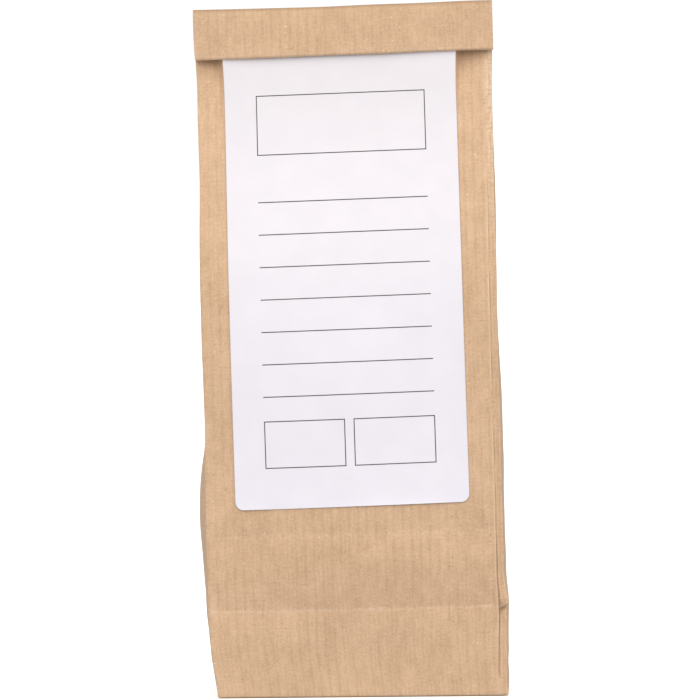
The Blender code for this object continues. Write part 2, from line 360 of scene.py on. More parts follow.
def stations():
    """The rows up the sheet, as height, through, turn, inset, length of paper and roll share.

    Under the foot they run out from the middle of the bottom, then round the foot's edge
    and up the body. At the roll the path turns over, down, under, and up behind itself.
    """
    floor_insets = np.array([0.0190, 0.0175, 0.0135, 0.0095, 0.0055, 0.0025])
    rows = [(FOOT_LIFT, 0, 0, FOOT_ROUND + m, -m, 0) for m in floor_insets]
    for a in np.linspace(0, np.pi / 2, 5):
        inset = FOOT_ROUND * (1 - math.sin(a))
        height = FOOT_LIFT + FOOT_ROUND * (1 - math.cos(a))
        rows.append((height, 0, 0, inset, FOOT_ROUND * a, 0))
    block = np.arange(0.0015, BOTTOM_CREASE - 0.0007, 0.001)
    crease = BOTTOM_CREASE + np.array([-0.0006, -0.0003, 0, 0.0003, 0.0006, 0.001, 0.0015])
    flap = np.arange(BOTTOM_CREASE + 0.0025, FLAP_CREASE - 0.0008, 0.0014)
    impression = FLAP_CREASE + np.array([-0.0008, -0.0004, 0, 0.0004, 0.0008])
    body = np.arange(FLAP_CREASE + 0.002, BEND_START - 0.0006, 0.0015)
    heights = np.concatenate([block, crease, flap, impression, body, [BEND_START]])
    rows += [(z, 0, 0, 0, z, 0) for z in heights]

    y, z, v = 0.0, BEND_START, BEND_START
    lower_end = TOP_BEND_RADIUS + LOWER_BEND_RADIUS + PACK
    legs = [
        ("bend", TOP_BEND_RADIUS, 0, math.pi - ROLL_TILT, 14),
        ("run", ROLL_DROP - lower_end, math.pi - ROLL_TILT, 0, 7),
        ("bend", LOWER_BEND_RADIUS, math.pi - ROLL_TILT, 2 * math.pi - ROLL_TILT, 10),
        ("run", ROLL_DROP - lower_end - MOUTH_GAP, 2 * math.pi - ROLL_TILT, 0, 5),
    ]
    for kind, size, turn, until, steps in legs:
        share = np.arange(1, steps + 1) / steps
        if kind == "bend":
            angle = turn + (until - turn) * share
            ys = y + size * (np.cos(angle) - math.cos(turn))
            zs = z + size * (np.sin(angle) - math.sin(turn))
            vs = v + size * (angle - turn)
        else:
            angle = np.full(steps, turn)
            ys = y - size * share * math.sin(turn)
            zs = z + size * share * math.cos(turn)
            vs = v + size * share
        rows += list(zip(zs, ys, angle, 0 * share, vs, 0 * share + 1))
        y, z, v = ys[-1], zs[-1], vs[-1]
    return np.array(rows, dtype=float).T


def sheet_columns():
    """The places round the sheet, the same on both sides of the middle.

    They are 1 mm apart on the gussets and 2 mm on the panels, and closer at every edge and
    fold, at the seam, and where the paper dents beside the label's head.
    """
    half = FRONT / 2
    creases = [half - SECOND_CREASE, half, half + GUSSET / 2, half + GUSSET]
    near = np.array([-0.0008, -0.0005, -0.00034, -0.00024, -0.00016, -0.00008, 0])
    near = np.concatenate([near, -near[:-1]])
    close = np.concatenate([c + near for c in creases])
    front = np.arange(0, half - 0.003, 0.002)
    beside_label = np.arange(0.0256, 0.0316, 0.0004)
    gusset = half + np.arange(0.001, GUSSET, 0.001)
    back = half + GUSSET + np.arange(0.002, half, 0.002)
    plain = np.concatenate([front, beside_label, gusset, back])
    apart = np.min(np.abs(plain[:, None] - np.array(creases)[None, :]), axis=1)
    one_side = np.unique(np.round(np.concatenate([close, plain[apart > 0.0009]]), 5))
    one_side = one_side[(one_side > 0) & (one_side < ROUND / 2 - 0.0003)]
    seam = SEAM_EDGE + np.array([-0.0004, -0.0002, 0, 0.0003])
    both = np.concatenate([-one_side, [0.0], one_side, seam, [-ROUND / 2]])
    return np.unique(np.round(both, 5))


def paper_points(columns, rows, margin=0):
    """Every point of the sheet: the outline, its relief, the roll's path and the lean.

    Under the roll the front stands out as far as the stiff label reaches, with a margin
    where one is given, and is pressed in beside it. All layers of the roll wave together.
    """
    z, y, turn, inset, v, on_roll = rows
    height = np.where(on_roll > 0, BEND_START, z)
    across, through, heading = outlines(columns, height)
    z, y, turn, inset, v, on_roll = (row[:, None] for row in rows)
    stand = relief(columns[None, :], v, on_roll) * smooth(v / 0.004)

    base_x, base_y = half_width(0), GUSSET / 2
    wall_inset = np.minimum(inset, FOOT_ROUND)
    floor_inset = inset - wall_inset
    x = across + np.sin(heading) * (stand - wall_inset)
    n = through - np.cos(heading) * (stand - wall_inset)
    x = x - floor_inset * np.clip(x / base_x, -1, 1)
    n = n - floor_inset * np.clip(n / base_y, -1, 1)

    past_label = np.abs(x - STIFF_CENTRE) - STIFF_HALF_WIDTH - margin
    step = smooth((past_label + 0.0004) / 0.0012)
    beside_label = step * np.clip((0.0350 - np.abs(x)) / 0.0062, 0, 1)
    dent_height = smooth((v - NECK + 0.010) / 0.009) * (1 - smooth((v - NECK - 0.002) / 0.004))
    full_height = smooth((v - NECK + 0.022) / 0.021) * (1 - smooth((v - NECK - 0.001) / 0.006))
    at_front = smooth(-n / 0.0006) * (1 - on_roll)
    n = n + NECK_DENT * beside_label * dent_height * at_front
    n = n - NECK_FULLNESS * (1 - step) * full_height * at_front
    in_roll = smooth((v - NECK + 0.030) / 0.028)
    n = n + ROLL_WAVE * ripple(x, v, (0.020, 0.050), 8) * in_roll
    bulge = smooth((v - 0.005) / 0.005) * (1 - smooth((v - FOLD_HEIGHT) / 0.0080))
    x = x + RIGHT_BULGE * bulge * smooth((x - 0.030) / 0.0035)

    end = np.clip(np.abs(x) / base_x, 0, 1) ** 5
    at_neck = smooth((v - NECK + 0.024) / 0.022) * (1 - smooth((v - NECK) / 0.008))
    py = y + n * np.cos(turn) - NECK_END_TURN * end * at_neck * (1 - on_roll)
    pz = z + n * np.sin(turn)
    down = on_roll * np.clip((HEIGHT - pz) / ROLL_DROP, 0, 1)
    py = py + ROLL_END_TURN * end * down
    cut = ROLL_END_CUT * down**4 * np.clip(-2 * x / FRONT, 0, 1) ** 3
    return lean(x + cut, py, pz + ROLL_SKEW * x * down)


def grid_mesh(name, points, closed=False, filled=False):
    """A mesh over a grid of points, rows by columns, joined round where it is closed.

    Where it is filled, one flat face closes the first row.
    """
    rows, columns = points.shape[:2]
    index = np.arange(rows * columns).reshape(rows, columns)
    right = np.roll(index, -1, axis=1) if closed else index[:, 1:]
    left = index if closed else index[:, :-1]
    faces = np.stack([left[:-1], right[:-1], right[1:], left[1:]], axis=-1).reshape(-1, 4)
    faces = faces.tolist()
    if filled:
        faces.append(index[0][::-1].tolist())
    mesh = bpy.data.meshes.new(name)
    mesh.from_pydata(points.reshape(-1, 3), [], faces)
    mesh.polygons.foreach_set("use_smooth", np.ones(len(mesh.polygons), dtype=bool))
    return mesh


def flat_uv(mesh, around, up):
    """A UV map that lays the sheet out flat, one unit to 220 mm, so that ribs run true.

    around and up give each face corner's place on the sheet. What is left over, the
    face that closes the bottom, stays at nought.
    """
    layer = mesh.uv_layers.new(name="flat")
    both = np.zeros((len(mesh.loops), 2), dtype=np.float32)
    both[: len(around)] = np.stack([around / ROUND + 0.5, up / ROUND], axis=-1)
    layer.data.foreach_set("uv", both.ravel())


def put_in(mesh, *materials):
    """An object of that mesh, at the origin, with its materials."""
    piece = bpy.data.objects.new(mesh.name, mesh)
    bpy.context.scene.collection.objects.link(piece)
    for finish in materials:
        mesh.materials.append(finish)
    return piece


def give_thickness(piece, thickness, offset=-1):
    """A wall of that thickness, inwards from the surface for -1, outwards for 1."""
    wall = piece.modifiers.new("thickness", "SOLIDIFY")
    wall.thickness = thickness
    wall.offset = offset


def point_values(mesh, name, values):
    """A value at every point, which the material reads."""
    layer = mesh.attributes.new(name, "FLOAT", "POINT")
    layer.data.foreach_set("value", values.astype(np.float32).ravel())


class Finish:
    """A material put together node by node, on a plain shader."""

    def __init__(self, name, **values):
        self.material = bpy.data.materials.new(name)
        self.material.use_nodes = True
        self.nodes = self.material.node_tree.nodes
        self.links = self.material.node_tree.links
        self.shade(**values)

    def put(self, socket, value):
        """Another node's output, a colour or a number goes on the socket."""
        if isinstance(value, bpy.types.NodeSocket):
            self.links.new(value, socket)
        elif socket.type == "RGBA":
            socket.default_value = (*value, 1)
        else:
            socket.default_value = value

    def shade(self, **values):
        """Each value goes on the shader's own socket of that name."""
        for key, value in values.items():
            self.put(self.nodes["Principled BSDF"].inputs[key.replace("_", " ")], value)

    def add(self, kind, **values):
        """A node of that kind, with each value on its socket of that name."""
        node = self.nodes.new("ShaderNode" + kind)
        for key, value in values.items():
            self.put(node.inputs[key.replace("_", " ")], value)
        return node

    def math(self, operation, *values):
        """What that operation makes of the values, in order."""
        node = self.add("Math")
        node.operation = operation
        for socket, value in zip(node.inputs, values):
            self.put(socket, value)
        return node.outputs[0]

    def mix(self, share, a, b):
        """Colour a where the share is 0, b where it is 1."""
        node = self.add("Mix")
        node.data_type = "RGBA"
        for key, value in (("Factor_Float", share), ("A_Color", a), ("B_Color", b)):
            self.put(next(s for s in node.inputs if s.identifier == key), value)
        return next(s for s in node.outputs if s.identifier == "Result_Color")

    def between(self, value, low, high, start=0, end=1):
        """start where the value is low, end where it is high, and a straight run between."""
        ends = {"From_Min": low, "From_Max": high, "To_Min": start, "To_Max": end}
        return self.add("MapRange", Value=value, **ends).outputs[0]

    def attribute(self, name):
        """The node that reads a value which the mesh carries."""
        node = self.add("Attribute")
        node.attribute_name = name
        return node


KRAFT = (0.655, 0.447, 0.292)
KRAFT_DARK = (0.460, 0.300, 0.180)
KRAFT_PALE = (0.740, 0.580, 0.430)
# The colour of the painted shade in creases and grooves, and of the seam's dark line
KRAFT_SHADE_AND_SEAM = (0.300, 0.185, 0.105)
BARK = (0.260, 0.150, 0.085)
RIB_PITCH = 0.00209

# The line of painted shade on the second crease: its place, how far it wanders, and at either
# end the height where there is nothing of it and the height where all of it shows
FOLD_LINE_AT = FRONT / 2 - SECOND_CREASE + 0.00005
FOLD_LINE_WANDER = 0.0006
FOLD_LINE_FOOT = (0.0095, 0.0125)
FOLD_LINE_HEAD = (0.124, 0.104)

# Specks: width, height, roughness, where they begin and are full, strength and colour
SPECKS = [
    (0.0010, 0.0011, 0.70, 0.67, 0.75, 0.80, KRAFT_PALE),
    (0.0009, 0.0014, 0.70, 0.66, 0.73, 0.50, BARK),
    (0.0009, 0.0026, 0.75, 0.72, 0.76, 0.75, BARK),
]


def kraft_finish():
    """Ribbed kraft: upright ribs, cloudy pulp, fibres, specks, worn creases, painted shade and
    highlight.

    All of it is laid out on the flat sheet, so that it bends with the paper.
    """
    paper = Finish(
        "ribbed_brown_kraft", Roughness=0.78, Specular_IOR_Level=0.25, Sheen_Weight=0.06
    )
    flat = paper.add("UVMap")
    flat.uv_map = "flat"

    def pattern(kind, width, height, **values):
        """A pattern whose unit is that wide round the sheet and that high up it."""
        scale = (ROUND / width, ROUND / height, 1)
        place = paper.add("Mapping", Vector=flat.outputs[0], Scale=scale)
        return paper.add(kind, Vector=place.outputs[0], **values)

    def noise(width, height, detail, roughness):
        """Soft unevenness of about that size."""
        cloud = pattern("TexNoise", width, height, Scale=1, Detail=detail, Roughness=roughness)
        return cloud.outputs["Fac"]

    def ribs(pitch, distortion):
        """Upright ribs that far apart, which run a little crooked."""
        wave = pattern("TexWave", pitch, 30 * pitch, Scale=math.tau / 20, Distortion=distortion)
        wave.inputs["Detail"].default_value = 1.0
        wave.inputs["Detail Scale"].default_value = 0.6
        wave.bands_direction = "X"
        return wave.outputs["Fac"]

    def swing(value, size):
        """Half of the size up or down as the value goes from 1 to 0."""
        return paper.math("MULTIPLY", paper.math("SUBTRACT", value, 0.5), size)

    broad_ribs = ribs(RIB_PITCH, 0.25)
    fine_ribs = ribs(RIB_PITCH / 2, 0.4)
    rib_strength = paper.between(noise(0.012, 0.030, 1, 0.5), 0.3, 0.7)
    clouds = noise(0.009, 0.014, 4, 0.6)
    patches = noise(0.0030, 0.0045, 3, 0.5)
    fibres = noise(0.0005, 0.0040, 3, 0.6)
    cross_fibres = noise(0.0016, 0.0006, 3, 0.65)
    grain = noise(0.00045, 0.00045, 2, 0.6)

    tone = paper.math("MULTIPLY", swing(broad_ribs, 0.24), rib_strength)
    tones = [(fine_ribs, 0.10), (clouds, 0.90), (patches, 0.75), (fibres, 0.75)]
    tones += [(cross_fibres, 0.80), (grain, 1.20)]
    for value, size in tones:
        tone = paper.math("ADD", tone, swing(value, size))
    base = paper.mix(paper.math("ADD", tone, 0.5), KRAFT_DARK, KRAFT)
    for width, height, roughness, begin, full, strength, colour in SPECKS:
        speck = paper.between(noise(width, height, 2, roughness), begin, full)
        base = paper.mix(paper.math("MULTIPLY", speck, strength), base, colour)

    place = paper.add("SeparateXYZ", Vector=flat.outputs[0])
    wander = swing(noise(1.0, 0.020, 2, 0.6), FOLD_LINE_WANDER / ROUND)
    beside_fold = paper.math("SUBTRACT", place.outputs[0], FOLD_LINE_AT / ROUND + 0.5)
    from_fold = paper.math("ADD", beside_fold, wander)
    shown = paper.between(noise(1.0, 0.012, 2, 0.6), 0.40, 0.55)
    for nothing_at, full_at in (FOLD_LINE_FOOT, FOLD_LINE_HEAD):
        end = paper.between(place.outputs[1], nothing_at / ROUND, full_at / ROUND)
        shown = paper.math("MULTIPLY", shown, end)

    def fold_line(offset, width, strength):
        """A line that far beside the fold, soft on both sides, in the parts that are shown."""
        away = paper.math("ABSOLUTE", paper.math("SUBTRACT", from_fold, offset / ROUND))
        soft = paper.math("MULTIPLY", paper.between(away, width / ROUND, 0), shown)
        return paper.math("MULTIPLY", soft, strength)

    # Painted shade: a dark line in the second crease's groove; a paler line just inside it
    base = paper.mix(fold_line(0, 0.00022, 0.75), base, KRAFT_SHADE_AND_SEAM)
    base = paper.mix(fold_line(-0.00035, 0.00025, 0.60), base, KRAFT_PALE)
    # Painted shade at the tuck, the groove and the roll's top edge, and the seam's dark line
    base = paper.mix(paper.attribute("painted_shade_and_seam").outputs["Fac"], base, KRAFT_SHADE_AND_SEAM)
    flecks = paper.between(paper.math("ADD", fibres, swing(cross_fibres, 0.8)), 0.35, 0.65)
    # Pale flecks where the paper is worn, and the painted highlight beyond the second crease
    scuff_and_highlight = paper.math("MULTIPLY", paper.attribute("wear_and_highlight").outputs["Fac"], flecks)
    base = paper.mix(scuff_and_highlight, base, KRAFT_PALE)

    height = paper.math("MULTIPLY", broad_ribs, 0.55)
    for value, size in ((fibres, 0.50), (grain, 0.35)):
        height = paper.math("ADD", height, paper.math("MULTIPLY", value, size))
    bump = paper.add("Bump", Strength=0.35, Distance=0.00006, Height=height)
    paper.shade(Base_Color=base, Normal=bump.outputs[0])
    return paper.material


# How far up the sheet the roll's lower bend lies
LOWER_BEND = BEND_START + TOP_BEND_RADIUS * (math.pi - ROLL_TILT) + ROLL_DROP - TOP_BEND_RADIUS
LOWER_BEND += LOWER_BEND_RADIUS * (math.pi / 2 - 1) - PACK


def crease_wear_and_highlight(s, v):
    """How pale the paper is made: worn along the creases of the bottom, the edges and the
    gussets, paler along the roll's lower bend, and with a painted highlight beyond the second
    crease, high up.

    Each crease adds its strength times a narrow bell across it.
    """
    from_front = np.abs(s)
    side = np.abs(from_front - FRONT / 2 - GUSSET / 2)
    on_front = smooth((FRONT / 2 - from_front) / 0.001)
    on_gusset = smooth((GUSSET / 2 - side) / 0.001)
    wear_and_highlight = 0.42 * line(v - BOTTOM_CREASE, 0.00035) * on_front
    wear_and_highlight = wear_and_highlight + 0.08 * line(v - FLAP_CREASE + 0.0006, 0.0009) * on_front
    for edge in (FRONT / 2, FRONT / 2 + GUSSET):
        wear_and_highlight = wear_and_highlight + 0.35 * line(from_front - edge, 0.0003) * smooth(v / 0.001)
    # Painted highlight: the strip beyond the second crease is made paler high up, as if lit
    beyond = line(s - FRONT / 2 + SECOND_CREASE / 2, 0.0008)
    wear_and_highlight = wear_and_highlight + 0.85 * beyond * smooth((v - 0.090) / (NECK - 0.090))
    wear_and_highlight = wear_and_highlight + 0.5 * on_gusset * line(side, 0.0004) * smooth((v - BOTTOM_CREASE) / 0.001)
    diagonal = line((side - (BOTTOM_CREASE - v)) * 0.7, 0.0005)
    wear_and_highlight = wear_and_highlight + 0.5 * on_gusset * diagonal * (v < BOTTOM_CREASE) * (v > 0)
    front_half = from_front < FRONT / 2 + GUSSET / 2
    wear_and_highlight = wear_and_highlight + 0.5 * on_gusset * line(v - BOTTOM_CREASE, 0.0004) * front_half
    wear_and_highlight = wear_and_highlight + 0.6 * line(v - LOWER_BEND - 0.0002, 0.0005)
    return np.clip(wear_and_highlight, 0, 1)


def painted_shade_and_seam_line(s, v):
    """Shade painted into the paper at the right edge's tuck, in its groove and along the roll's
    top edge, and a dark line along the glued seam's edge.

    Each adds its strength times a narrow bell across it.
    """
    from_line = s - (FRONT / 2 - SECOND_CREASE)
    corner = line(from_line - 0.0002, 0.0004) * line(v - FOLD_HEIGHT + 0.0001, 0.0011)
    under = line(from_line - 0.0010, 0.0010) * line(v - fold_height(s) + 0.0003, 0.0004)
    above = line(from_line - 0.0006, 0.0008) * line(v - FOLD_HEIGHT - 0.0008, 0.0010)
    top_line = line(v - BEND_START - TOP_BEND_RADIUS * np.pi / 2 - 0.0005, 0.0009)
    groove = line(from_line, 0.00014) * smooth((v - 0.0035) / 0.002)
    groove = groove * (1 - smooth((v - 0.034) / 0.004))
    seam = line(s - SEAM_EDGE + 0.00015, 0.00018) * (v < BEND_START) * (v > 0)
    # Painted shade at the tuck, in the groove and along the roll's top edge
    painted_shade_and_seam = 0.85 * corner + 0.45 * under + 0.40 * above + 0.50 * groove + 0.70 * top_line
    return np.clip(painted_shade_and_seam + 0.30 * seam, 0, 0.85)


def sheet_places(columns, rows):
    """Where every point lies on the flat sheet: round it and up it, the first column twice.

    Under the foot a gusset's part keeps its own distance from the gusset's middle, so that
    the ribs run straight on there.
    """
    s = np.append(columns, columns[0] + ROUND)[None, :]
    in_share = np.clip(rows[3] - FOOT_ROUND, 0, None)[:, None] / (GUSSET / 2)
    from_middle = np.abs(s) - FRONT / 2 - GUSSET / 2
    on_gusset = np.abs(from_middle) < GUSSET / 2
    around = s - np.sign(s) * np.where(on_gusset, in_share * from_middle, 0)
    return around, rows[4][:, None] + 0 * s


def face_corners(values):
    """The values of a grid at its faces' corners, in the order in which a face has them."""
    return np.stack([values[:-1, :-1], values[:-1, 1:], values[1:, 1:], values[1:, :-1]], axis=-1)


kraft = kraft_finish()
columns = sheet_columns()
rows = stations()
points = np.stack(paper_points(columns, rows), axis=-1)
paper_mesh = grid_mesh("kraft_bag", points, closed=True, filled=True)
around, up = sheet_places(columns, rows)
flat_uv(paper_mesh, face_corners(around).ravel(), face_corners(up).ravel())
point_values(paper_mesh, "wear_and_highlight", crease_wear_and_highlight(columns[None, :], rows[4][:, None]))
point_values(paper_mesh, "painted_shade_and_seam", painted_shade_and_seam_line(columns[None, :], rows[4][:, None]))
paper_bag = put_in(paper_mesh, kraft)
give_thickness(paper_bag, PAPER)
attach(paper_bag, "root")
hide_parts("paper_bag")


# The bottom flaps: the lower end of the sheet, in two trapezoids folded under the foot and
# glued down, the front one last. The bag stands on them.

FLAP_THICKNESS = 0.00007
FLAP_FROM = 0.0194
FLAP_PAST_MIDDLE = 0.0045
FLAP_HALF_WIDTH = 0.0338
BACK_FLAP_HEIGHT = 0.00010
FRONT_FLAP_HEIGHT = 0.00001


def bottom_flap(name, way, height):
    """One flap, from way times FLAP_FROM to past the middle, as much narrower as it is long."""
    reach = np.linspace(0, FLAP_FROM + FLAP_PAST_MIDDLE, 9)[:, None]
    side = np.linspace(-1, 1, 17)[None, :]
    x = way * side * (reach - FLAP_HALF_WIDTH)
    y = way * (FLAP_FROM - reach) + 0 * side
    mesh = grid_mesh(name, np.stack([x, y, height + 0 * x], axis=-1))
    corners = np.empty(len(mesh.loops), dtype=np.int32)
    mesh.loops.foreach_get("vertex_index", corners)
    flat_uv(mesh, x.ravel()[corners], y.ravel()[corners])
    flap = put_in(mesh, kraft)
    give_thickness(flap, FLAP_THICKNESS, offset=1)
    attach(flap, "root")


bottom_flap("back_flap", 1, BACK_FLAP_HEIGHT)
bottom_flap("front_flap", -1, FRONT_FLAP_HEIGHT)


# The label: one rectangle of white paper with round corners, stuck on the front after the
# bag was filled, so that it follows the belly. Its head is under the roll.

LABEL_WIDTH = 0.0549
LABEL_FOOT = 0.0446
LABEL_HEAD = 0.1545
LABEL_CORNER = 0.0019
LABEL_CENTRE = -0.0008
LABEL_TURN = math.radians(-0.36)
LABEL_LIFT = 0.00009
LABEL_CURL = 0.00012
LABEL_THICKNESS = 0.00014
LABEL_MIDDLE = (LABEL_FOOT + LABEL_HEAD) / 2

# A fine grid of points on the paper's front, with a margin that keeps clear of its dents
FRONT_STEP = 0.0005
LABEL_MARGIN = 0.002
front_s = np.arange(-0.031, 0.031, FRONT_STEP)
front_v = np.arange(0.041, 0.158, FRONT_STEP)
nothing = 0 * front_v
front_rows = np.stack([front_v, nothing, nothing, nothing, front_v, nothing])
front_points = np.stack(paper_points(front_s, front_rows, LABEL_MARGIN), axis=-1)
front_normals = np.cross(np.gradient(front_points, axis=1), np.gradient(front_points, axis=0))
front_normals = front_normals / np.linalg.norm(front_normals, axis=-1, keepdims=True)


def on_front(s, v, gap):
    """The point that gap in front of the paper, at s round the sheet and v up it.

    It lies between the four nearest of the front's points, each weighted by how near it
    is, and stands off by the gap along the paper's normal there.
    """
    row = (v - front_v[0]) / FRONT_STEP
    column = (s - front_s[0]) / FRONT_STEP
    i = row.astype(int)
    j = column.astype(int)
    up = (row - i)[..., None]
    side = (column - j)[..., None]

    def weighted(field):
        low = mixed(field[i, j], field[i, j + 1], side)
        high = mixed(field[i + 1, j], field[i + 1, j + 1], side)
        return mixed(low, high, up)

    return weighted(front_points) + gap[..., None] * weighted(front_normals)


def on_label(x, w, gap):
    """The point at x across the label and w up from its middle, turned with the label."""
    s = LABEL_CENTRE + x * math.cos(LABEL_TURN) + w * math.sin(LABEL_TURN)
    v = LABEL_MIDDLE + w * math.cos(LABEL_TURN) - x * math.sin(LABEL_TURN)
    return on_front(s, v, gap)


def label_curl(x, w):
    """How far the label has come off the paper: a little along its edges, in places."""
    reach = np.minimum(LABEL_WIDTH / 2 - np.abs(x), w - LABEL_FOOT + LABEL_MIDDLE)
    loose = 0.5 + 0.5 * ripple(x, w, (0.020, 0.050), 6)
    return LABEL_LIFT + LABEL_CURL * np.exp(-reach / 0.0012) * np.clip(loose, 0, 1.2)


def label_grid():
    """Across and up for the label's points: rows across it, closer at the round corners.

    In a corner a row's half width is the full one less r (1 - sin a), and it stands
    r (1 - cos a) in from the end, for a from nothing to a quarter turn.
    """
    angle = np.linspace(0, np.pi / 2, 7)
    rise = LABEL_CORNER * (1 - np.cos(angle))
    half = LABEL_WIDTH / 2 - LABEL_CORNER * (1 - np.sin(angle))
    length = LABEL_HEAD - LABEL_FOOT
    straight = np.arange(LABEL_CORNER + 0.001, length - LABEL_CORNER - 0.0005, 0.001)
    up = np.concatenate([rise, straight, length - rise[::-1]]) - length / 2
    half = np.concatenate([half, np.full(len(straight), LABEL_WIDTH / 2), half[::-1]])
    side = np.concatenate([[-1, -0.992, -0.978], np.linspace(-0.95, 0.95, 49), [0.978, 0.992, 1]])
    return side[None, :] * half[:, None], np.broadcast_to(up[:, None], (len(up), len(side)))


# The label's white at its head and at its foot: painted shade, greyer at the head, whiter at the
# foot
LABEL_HEAD_SHADED_WHITE = (0.664, 0.638, 0.674)
LABEL_FOOT_LIT_WHITE = (0.742, 0.720, 0.789)
LABEL_CLOUD = 0.035


def label_finish():
    """Satin white label paper, a little cloudy, with a fine tooth.

    Shade is painted on it: it is greyer towards its head and whiter towards its foot.
    """
    paper = Finish("satin_label_paper", Roughness=0.48, Specular_IOR_Level=0.35)
    place = paper.add("TexCoord").outputs["Object"]
    up = paper.add("SeparateXYZ", Vector=place).outputs["Z"]
    up = paper.between(up, LABEL_FOOT, LABEL_HEAD)
    # Painted shade: the label is mixed greyer towards its head and whiter towards its foot
    white = paper.mix(up, LABEL_FOOT_LIT_WHITE, LABEL_HEAD_SHADED_WHITE)
    cloud = paper.add("TexNoise", Vector=place, Scale=160, Detail=4).outputs["Fac"]
    tinted = paper.add("VectorMath")
    tinted.operation = "SCALE"
    paper.put(tinted.inputs[0], white)
    paper.put(tinted.inputs["Scale"], paper.between(cloud, 0.3, 0.7, 1 - LABEL_CLOUD, 1))
    tooth = paper.add("TexNoise", Vector=place, Scale=2600, Detail=2).outputs["Fac"]
    bump = paper.add("Bump", Strength=0.15, Distance=0.00002, Height=tooth)
    paper.shade(Base_Color=tinted.outputs[0], Normal=bump.outputs[0])
    return paper.material


label_x, label_w = label_grid()
label_points = on_label(label_x, label_w, label_curl(label_x, label_w))
label = put_in(grid_mesh("paper_label", label_points), label_finish())
give_thickness(label, LABEL_THICKNESS, offset=1)
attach(label, "root")
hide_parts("label")


# The print on the label: plain rules and empty boxes to write in, in one dark ink. Each
# rule is a strip of ink of its own, a hair thicker than the paper that it lies on.

INK_LIFT = 0.000012
INK_THICKNESS = 0.000015
RULE = 0.00022
INK_STEP = 0.0010
INK = (0.045, 0.043, 0.047)

# From the label's middle: the head's box, the rules to write on, and the two boxes at the foot
HEAD_BOX = (0, 0.034, 0.040, 0.014)
RULE_ENDS = (-0.020, 0.020)
RULE_HEIGHTS = np.arange(0.016, -0.030, -0.0075)
FOOT_BOXES = ((-0.0105, -0.0400, 0.019, 0.011), (0.0105, -0.0400, 0.019, 0.011))


def ink_strip(x_from, x_to, w_from, w_to):
    """A patch of ink between two places across and two up, as points and faces."""
    steps_x = max(1, round((x_to - x_from) / INK_STEP))
    steps_w = max(1, round((w_to - w_from) / INK_STEP))
    across = np.linspace(x_from, x_to, steps_x + 1)
    x, w = np.meshgrid(across, np.linspace(w_from, w_to, steps_w + 1))
    gap = label_curl(x, w) + LABEL_THICKNESS + INK_LIFT
    index = np.arange(x.size).reshape(x.shape)
    faces = np.stack([index[:-1, :-1], index[:-1, 1:], index[1:, 1:], index[1:, :-1]], axis=-1)
    return on_label(x, w, gap).reshape(-1, 3), faces.reshape(-1, 4)


def box(x, w, width, height):
    """The four rules round an empty box, from its middle and its size."""
    left, right = x - width / 2, x + width / 2
    foot, head = w - height / 2, w + height / 2
    return [
        (left, right, foot, foot + RULE),
        (left, right, head - RULE, head),
        (left, left + RULE, foot + RULE, head - RULE),
        (right - RULE, right, foot + RULE, head - RULE),
    ]


strips = box(*HEAD_BOX)
strips += [(*RULE_ENDS, w, w + RULE) for w in RULE_HEIGHTS]
for foot_box in FOOT_BOXES:
    strips += box(*foot_box)
ink_points, ink_faces = [], []
count = 0
for strip in strips:
    strip_points, strip_faces = ink_strip(*strip)
    ink_points.append(strip_points)
    ink_faces.append(strip_faces + count)
    count += len(strip_points)
ink_mesh = bpy.data.meshes.new("label_rules")
ink_mesh.from_pydata(np.concatenate(ink_points), [], np.concatenate(ink_faces))
label_print = put_in(ink_mesh, Finish("dark_ink", Base_Color=INK, Roughness=0.6).material)
give_thickness(label_print, INK_THICKNESS, offset=1)
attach(label_print, "root")


# The cut root: short split sticks, pale and fibrous inside, brown where the bark is left.
# They fill the closed bag to a little over half its height, where nothing shows them.

CHIP_STEP = 0.005
CHIP_SHIFT = 0.0018
FILL_FLOOR = 0.0006
FILL_TOP = 0.090
FILL_MARGIN = 0.0012
WALL_GAP = 0.001
CHIP_RINGS = 4
CHIP_SIDES = 8
ROOT_PALE = (0.720, 0.540, 0.270)
ROOT_DEEP = (0.500, 0.330, 0.130)
ROOT_BARK = (0.130, 0.070, 0.038)


def cavity(y, z):
    """How far out the fill may come at each place: across, then through.

    The gussets fold in above the belly's top, most at their middle crease.
    """
    fold = fold_angle(z)
    through = GUSSET / 2 * np.cos(fold) - FILL_MARGIN
    folded_in = GUSSET / 2 * np.sin(fold) * (1 - np.clip(np.abs(y) / through, 0, 1))
    return half_width(z) - folded_in - FILL_MARGIN, through


def chip_centres(rng):
    """Places 5 mm apart in the cavity, each moved a little at random."""
    across = np.arange(-0.0325, 0.033, CHIP_STEP)
    through = np.arange(-0.0175, 0.018, CHIP_STEP)
    up = np.arange(0.0035, FILL_TOP, CHIP_STEP)
    centres = np.stack(np.meshgrid(across, through, up), axis=-1).reshape(-1, 3)
    centres = centres + rng.uniform(-CHIP_SHIFT, CHIP_SHIFT, centres.shape)
    widest, deepest = cavity(centres[:, 1], centres[:, 2])
    inside_width = np.abs(centres[:, 0]) < widest - WALL_GAP
    inside_depth = np.abs(centres[:, 1]) < deepest - WALL_GAP
    return centres[inside_width & inside_depth]


def turned(rng, count):
    """Three directions at right angles for each chip, the first one near level."""
    yaw = rng.uniform(0, math.tau, count)
    pitch = rng.normal(0, 0.4, count)
    level = np.cos(pitch)
    along = np.stack([np.cos(yaw) * level, np.sin(yaw) * level, np.sin(pitch)], axis=-1)
    side = np.cross(along, rng.normal(size=(count, 3)))
    side = side / np.linalg.norm(side, axis=-1, keepdims=True)
    return along, side, np.cross(along, side)


